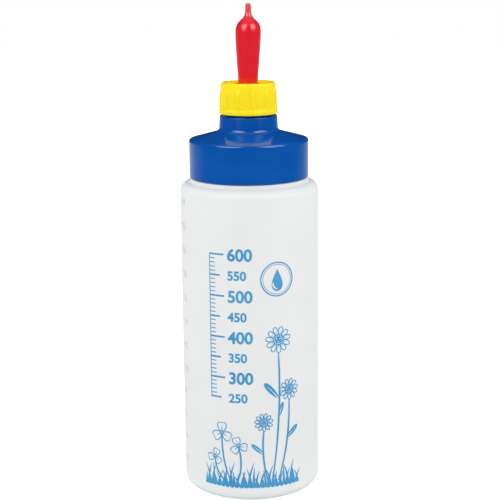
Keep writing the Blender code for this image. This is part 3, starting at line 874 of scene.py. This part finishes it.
class Sheet:
    """Flat shapes in one mesh. Each lies a hair above the last one, so that no two coincide."""

    def __init__(self):
        self.shape = bmesh.new()
        self.layer = 0

    def add(self, *loops):
        """The first loop is the outline, and the others are holes."""
        self.layer = (self.layer + 1) % LAYERS
        lift = INK + LAYER_STEP * self.layer
        loops = [[Vector((x, y, lift)) for x, y in loop] for loop in loops]
        corners = [self.shape.verts.new(point) for loop in loops for point in loop]
        for triangle in tessellate_polygon(loops):
            self.shape.faces.new([corners[index] for index in triangle])

    def add_number(self, number, x, y, size):
        curve = bpy.data.curves.new("number", "FONT")
        curve.body = str(number)
        curve.size = size
        curve.offset = BOLDNESS * size
        curve.resolution_u = 6
        letters = placed("number", curve)
        bpy.context.view_layer.update()
        mesh = bpy.data.meshes.new_from_object(letters)
        mesh.transform(Matrix.Translation((x, y, INK)))
        self.shape.from_mesh(mesh)
        bpy.data.objects.remove(letters, do_unlink=True)


list_helpers(Sheet)

# %% Bend a point round the body
def bent(x, y, lift):
    """x runs round the body from the front, y is the height, and lift goes outwards, in mm."""
    angle = x / body_radius - math.pi / 2
    radius = body_radius + lift
    return (radius * math.cos(angle) * MM, radius * math.sin(angle) * MM, y * MM)


print("the print's right edge lies at", [round(value, 4) for value in bent(29, 0, INK)])

# %% Wrap a sheet round the bottle
STRIP = 1
SINK = 0.06


def wrapped(name, sheet):
    """The film's underside is sunk in the wall, and sides close it all round."""
    flat = sheet.shape
    xs = [vertex.co.x for vertex in flat.verts]
    for x in range(math.ceil(min(xs)), math.ceil(max(xs)), STRIP):
        everything = flat.verts[:] + flat.edges[:] + flat.faces[:]
        bmesh.ops.bisect_plane(flat, geom=everything, plane_co=(x, 0, 0), plane_no=(1, 0, 0))
    for face in flat.faces:
        if face.normal.z < 0:
            face.normal_flip()
    flat.verts.index_update()
    points = [bent(*vertex.co) for vertex in flat.verts]
    points += [bent(vertex.co.x, vertex.co.y, -SINK) for vertex in flat.verts]
    count = len(flat.verts)
    faces = [[corner.index for corner in face.verts] for face in flat.faces]
    faces += [[index + count for index in reversed(face)] for face in faces]
    for edge in flat.edges:
        if len(edge.link_loops) == 1:
            corner = edge.link_loops[0]
            first, second = corner.vert.index, corner.link_loop_next.vert.index
            faces.append([second, first, first + count, second + count])
    flat.free()
    mesh = bpy.data.meshes.new(name)
    mesh.from_pydata(points, [], faces)
    piece = placed(name, mesh)
    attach(piece, "bottle")
    print(name, "has", len(faces), "faces")
    return piece


list_helpers(wrapped)

# %% Draw with a pen
def off(x, y, far, angle):
    """The point that lies so far from (x, y), in the direction of the angle."""
    return (x + far * math.cos(angle), y + far * math.sin(angle))


def circle(x, y, radius, sides):
    return [off(x, y, radius, math.tau * side / sides) for side in range(sides)]


def pen(start, bend, end, width, thin=0.15, steps=14):
    """A stroke along a curve that a third point bends. It is widest a third of the way along."""
    first, middle, last = Vector(start), Vector(bend), Vector(end)
    left, right = [], []
    for step in range(steps + 1):
        t = step / steps
        point = first * (1 - t) ** 2 + middle * 2 * t * (1 - t) + last * t * t
        run = ((middle - first) * (1 - t) + (last - middle) * t).normalized()
        half = width / 2 * (thin + (1 - thin) * math.sin(math.pi * t ** 0.7) ** 0.6)
        left.append((point.x - run.y * half, point.y + run.x * half))
        right.append((point.x + run.y * half, point.y - run.x * half))
    return left + right[::-1]


def petal(x, y, length, width, angle, heart=0.0, sides=20):
    """A rounded leaf whose foot is at (x, y). heart notches its far end."""
    cos, sin = math.cos(angle), math.sin(angle)
    loop = []
    for side in range(sides):
        a = math.tau * side / sides
        along = length * (0.5 - 0.5 * math.cos(a))
        over = width / 2 * math.sin(a) * (0.75 + 0.35 * along / length)
        along -= heart * length * max(0, math.cos(a + math.pi)) ** 6
        loop.append((x + along * cos - over * sin, y + along * sin + over * cos))
    return loop


list_helpers(off, circle, pen, petal)

# %% [markdown]
# The scale's spacing isn't free: 100 ml of milk stands 23.0 mm high in a body that is 74.5 mm
# wide inside, and the raised base takes away about 3.1 mm at the bottom. It stands left of the
# middle, with a long bar and a large number at each 100 ml.

# %% Draw the volume scale
ZERO_HEIGHT = 3.1
SCALE_X, NUMBER_X = -23.0, -12.6
ML_HEIGHT = 1000 / (math.pi * (body_radius - WALL) ** 2)
front = Sheet()


def bar(sheet, x, y, length, thick):
    low, high = y - thick / 2, y + thick / 2
    sheet.add([(x, low), (x + length, low), (x + length, high), (x, high)])


for volume in range(250, 601, 10):
    height = ZERO_HEIGHT + volume * ML_HEIGHT
    whole, half = volume % 100 == 0, volume % 50 == 0
    bar(front, SCALE_X, height, 8.5 if whole else 6.0 if half else 3.2, 0.95 if half else 0.5)
    if half:
        size = 9.2 if whole else 7.0
        front.add_number(volume, NUMBER_X, height - 0.36 * size, size)
bar(front, SCALE_X - 0.4, ZERO_HEIGHT + 425 * ML_HEIGHT, 0.5, 350 * ML_HEIGHT + 0.9)
print("100 ml stand", round(100 * ML_HEIGHT, 1), "mm high")

# %% [markdown]
# Right of the scale hangs a milk drop in a double ring. A drop could be a circle with a
# triangle on it, but that has a kink. Here its outline is a sine whose width shrinks towards the
# top, and a curved slit is its highlight.

# %% Draw the milk drop
DROP_X, DROP_Y, DROP_SIZE = 15.0, 127.0, 6.2


def drop(x, y, size, sides=48):
    loop = []
    for side in range(sides):
        a = math.tau * side / sides
        loop.append((x + size * 0.72 * math.sin(a) * math.sin(a / 2) ** 1.4, y + size * math.cos(a)))
    return loop


for outer_ring, inner_ring in ((9.6, 8.9), (8.3, 8.0)):
    hole = circle(DROP_X, DROP_Y, inner_ring, 64)[::-1]
    front.add(circle(DROP_X, DROP_Y, outer_ring, 64), hole)
drop_outline = drop(DROP_X, DROP_Y - 0.4, DROP_SIZE)
front.add(drop_outline, pen((12.6, 125.6), (12.2, 122.2), (15.2, 121.6), 1.0)[::-1])
drop_heights = [y for x, y in drop_outline]
print("drop is", round(max(drop_heights) - min(drop_heights), 1), "mm tall")

# %% [markdown]
# The meadow is line art: daisies on long stems, clover and grass. An outlined petal is an outer
# loop with a smaller one cut out of it, and stems and veins are pen strokes. Bevelled curves
# could draw the lines too, but they would end bluntly.

# %% Draw the plants
def outlined_petal(sheet, x, y, length, width, angle, line=0.5, heart=0.0):
    start = off(x, y, 1.2 * line, angle)
    hole = petal(*start, length - 2.2 * line, width - 2.2 * line, angle, heart)
    sheet.add(petal(x, y, length, width, angle, heart), hole[::-1])


def daisy(sheet, x, y, radius, root, bend, petals=11):
    middle = 0.3 * radius
    for count in range(petals):
        angle = math.tau * (count + 0.3) / petals
        foot = off(x, y, 0.95 * middle, angle)
        outlined_petal(sheet, *foot, radius * 0.72, radius * 0.42, angle)
        sheet.add(pen(foot, foot, off(x, y, 0.62 * radius, angle), 0.45))
    dots = [circle(*off(x, y, 0.5 * middle, a), 0.16 * middle, 10)[::-1] for a in (0.5, 2.6, 4.7)]
    sheet.add(circle(x, y, middle * 0.9, 40), *dots)
    sheet.add(pen((x - 0.1, y - radius * 0.95), bend, root, 1.1, 0.6))


def clover(sheet, x, y, size, turn, root, bend):
    for count in range(3):
        angle = turn + math.tau * count / 3
        foot = off(x, y, 0.3, angle)
        outlined_petal(sheet, *foot, size, size * 0.95, angle, 0.55, 0.16)
        sheet.add(pen(foot, foot, off(x, y, 0.62 * size, angle), 0.5))
    sheet.add(pen((x, y), bend, root, 1.0, 0.5))


def blade(x, y, high, sway, width, steps=8):
    """A blade of grass is widest at its foot and bends over towards its tip."""
    left, right = [], []
    for step in range(steps):
        t = step / steps
        middle, half = x + sway * t * t, width / 2 * (1 - t) ** 0.7
        left.append((middle - half, y + high * t))
        right.append((middle + half, y + high * t))
    return left + [(x + sway, y + high)] + right[::-1]


list_helpers(outlined_petal, daisy, clover, blade)

# %% Plant the meadow
LEAVES = (
    ((15.2, 60.0), 12.0, 2.3), ((15.4, 49.0), 8.5, 1.25), ((20.0, 36.0), 10.0, 0.7), ((6.5, 28.0), 9.0, 2.4)
)
BLADES = 42
daisy(front, 15.5, 93.0, 7.6, (11.5, 12.0), (17.5, 50.0))
daisy(front, 22.0, 64.0, 6.2, (15.0, 12.0), (22.5, 34.0))
daisy(front, 6.8, 46.5, 5.4, (9.0, 12.0), (5.0, 26.0))
for foot, length, angle in LEAVES:
    vein = pen(foot, foot, off(*foot, 0.8 * length, angle), 0.5)
    front.add(petal(*foot, length, length * 0.3, angle), vein[::-1])
clover(front, -17.0, 40.0, 6.6, math.pi / 2, (-12.0, 12.0), (-17.5, 24.0))
clover(front, -7.5, 33.0, 5.6, math.pi / 2 + 0.35, (-8.0, 12.0), (-4.5, 22.0))
clover(front, -21.5, 25.5, 5.2, math.pi / 2 - 0.3, (-15.5, 12.0), (-21.5, 17.0))
for count in range(BLADES):
    high = 6.5 + 4.5 * math.sin(1.9 * count) ** 2 + 5.0 * math.sin(0.37 * count + 0.6) ** 4
    x, y = -27.5 + 1.35 * count, 8.6 + 0.3 * math.sin(3 * count)
    front.add(blade(x, y, high, 3.4 * math.sin(2.4 * count), 1.7))
print("the sheet has", len(front.shape.faces), "triangles")
print_front = wrapped("front_print", front)

# %% [markdown]
# A second, fainter scale is moulded into the left side: one bar for each fluid ounce and a
# number at each second one. It is drawn and wrapped as the print is, because it stands up by
# no more than the ink does.

# %% Mould the second scale
OUNCE = 29.57
OUNCE_X, OUNCE_NUMBER_X = -57.0, -49.6
moulded = Sheet()
for count in range(1, 25):
    height = ZERO_HEIGHT + count * OUNCE * ML_HEIGHT
    even = count % 2 == 0
    bar(moulded, OUNCE_X, height, 6.0 if even else 3.5, 0.7)
    if even:
        moulded.add_number(count, OUNCE_NUMBER_X, height - 1.9, 5.2)
moulded_scale = wrapped("moulded_scale", moulded)

# %% [markdown]
# Screen ink is matt and lies thin. Its blue varies a little with the pull of the squeegee. The
# moulded marks are the bottle's own plastic, where the mould was engraved and polished, so they
# get a smoother and darker finish than the frosted wall.

# %% Dress the print and the moulded marks
INK_BLUE = ((0.035, 0.29, 0.58), (0.06, 0.34, 0.62))
MARKS = ((0.62, 0.66, 0.72), (0.67, 0.71, 0.76))
ink, tree, shader = new_material("print_ink", IOR=1.45)
surface = place_group(
    tree, skin, Grain_Size=0.0005, Grain_Depth=1e-6, Wave_Size=0.012, Wave_Depth=0.0,
    Roughness=0.5, Roughness_Drift=0.1,
)
colour = blended(tree, surface["Tone"], *INK_BLUE)
wire_up(tree, shader, colour, surface["Roughness"], surface["Height"])
dress(print_front, ink)
marks_finish, tree, shader = new_material("moulded_marks", IOR=1.5, Transmission_Weight=0.1)
surface = place_group(tree, skin, Roughness=0.35, Roughness_Drift=0.08)
wire_up(tree, shader, blended(tree, surface["Tone"], *MARKS), surface["Roughness"], surface["Height"])
dress(moulded_scale, marks_finish)

# %% [markdown]
# ## Studio
# A plain pale floor and a white surround, as in a light tent. Real panels would light dull and
# glossy surfaces alike, but the world gives each kind of ray its own light. The floor only emits
# towards the camera, so that it renders white but still takes the shadow at the foot.

# %% Lay the floor
FLOOR_RADIUS = 4.0
FLOOR_GLOW = 0.8
bpy.ops.mesh.primitive_circle_add(vertices=96, radius=FLOOR_RADIUS, fill_type="NGON")
floor = bpy.context.object
floor.name = "floor"
floor.visible_glossy = False
floor.visible_transmission = False
pale, tree, shader = new_material(
    "pale_floor", Base_Color=(0.88, 0.88, 0.88, 1), Roughness=0.9, Specular_IOR_Level=0.0,
    Emission_Color=(1, 1, 1, 1),
)
rays = node(tree, "LightPath").outputs
fill(shader.inputs["Emission Strength"], times(tree, rays["Is Camera Ray"], FLOOR_GLOW))
dress(floor, pale)

# %% [markdown]
# What the glossy surfaces mirror is drawn first: dim behind the camera, and bright at the back up
# to the horizon, which keeps the caps' colours deep at their middle and gives them bright edges. A
# soft panel hangs overhead, and two windows in front make the teat's highlights.

# %% Draw what glossy surfaces mirror
WINDOW = 5.2
WINDOWS = ((-0.57, -0.63, 0.53), (0.66, -0.54, 0.53))
PANEL = 0.55
world = bpy.data.worlds.new("studio")
world.use_nodes = True
bpy.context.scene.world = world
tree = world.node_tree
tree.nodes.clear()
compass = node(tree, "TexCoord").outputs["Generated"]
toward = node(tree, "SeparateXYZ", Vector=compass).outputs
behind = calculate(tree, "MAXIMUM", plus(tree, toward["Y"], times(tree, toward["X"], -0.12)), 0.0)
bright_side = plus(tree, times(tree, calculate(tree, "POWER", behind, 1.5), 0.85), 0.03)
below_top = ramp(tree, toward["Z"], -0.14, 0.03, 1.0, 0.015)
overhead = ramp(tree, toward["Z"], 0.68, 0.86, 0.0, PANEL)
mirrored = calculate(tree, "MAXIMUM", times(tree, bright_side, below_top), overhead)
for window in WINDOWS:
    facing = node(tree, "VectorMath", [("operation", "DOT_PRODUCT")])
    fill(facing.inputs[0], compass)
    fill(facing.inputs[1], Vector(window).normalized())
    pane = ramp(tree, facing.outputs["Value"], 0.87, 0.97, 0.0, WINDOW)
    mirrored = plus(tree, mirrored, pane)
print("the surround has", len(WINDOWS), "windows of strength", WINDOW)

# %% [markdown]
# What lights the dull surfaces comes from all round, and a bit more from the sides. What the
# camera sees, or sees through the plastic, is plain white.

# %% Light the surround
AMBIENT = 0.78
SIDE_LIGHT = 0.68
rays = node(tree, "LightPath").outputs
soft = plus(tree, times(tree, calculate(tree, "ABSOLUTE", toward["X"]), SIDE_LIGHT), AMBIENT)
not_glossy = calculate(tree, "SUBTRACT", 1.0, rays["Is Glossy Ray"])
lit = plus(tree, times(tree, rays["Is Glossy Ray"], mirrored), times(tree, not_glossy, soft))
plain_white = calculate(tree, "MAXIMUM", rays["Is Camera Ray"], rays["Is Transmission Ray"])
hidden = times(tree, calculate(tree, "SUBTRACT", 1.0, plain_white), lit)
strength = plus(tree, plain_white, hidden)
backdrop = node(tree, "Background", Color=(1, 1, 1, 1), Strength=strength)
fill(node(tree, "OutputWorld").inputs["Surface"], backdrop.outputs[0])
print("dull surfaces get", AMBIENT, "all round and", AMBIENT + SIDE_LIGHT, "from the sides")

# %% [markdown]
# Two weak lamps, high at the front left and right, add a little modelling and the shadow at the
# foot. One strong lamp would make the caps' tops clip to white.

# %% Hang the lamps
LAMP_SIZE = 0.17
LAMP_WATTS = 0.2
LAMP_TARGET = (0, 0, 0.15)


def soft_lamp(name, place):
    light = bpy.data.lights.new(name, "AREA")
    light.shape = "SQUARE"
    light.size = LAMP_SIZE
    light.energy = LAMP_WATTS
    lamp = placed(name, light)
    lamp.location = place
    aim = Vector(LAMP_TARGET) - lamp.location
    lamp.rotation_euler = aim.to_track_quat("-Z", "Y").to_euler()
    print(name, "gives", LAMP_WATTS, "W")


soft_lamp("left_lamp", (-0.40, -0.46, 0.72))
soft_lamp("right_lamp", (0.44, -0.44, 0.72))

# %% [markdown]
# ## Finish
# Colours are shown with the Standard view, without a tone curve. The looks must not change the
# size.

# %% Finish the scene
bpy.context.scene.view_settings.view_transform = "Standard"
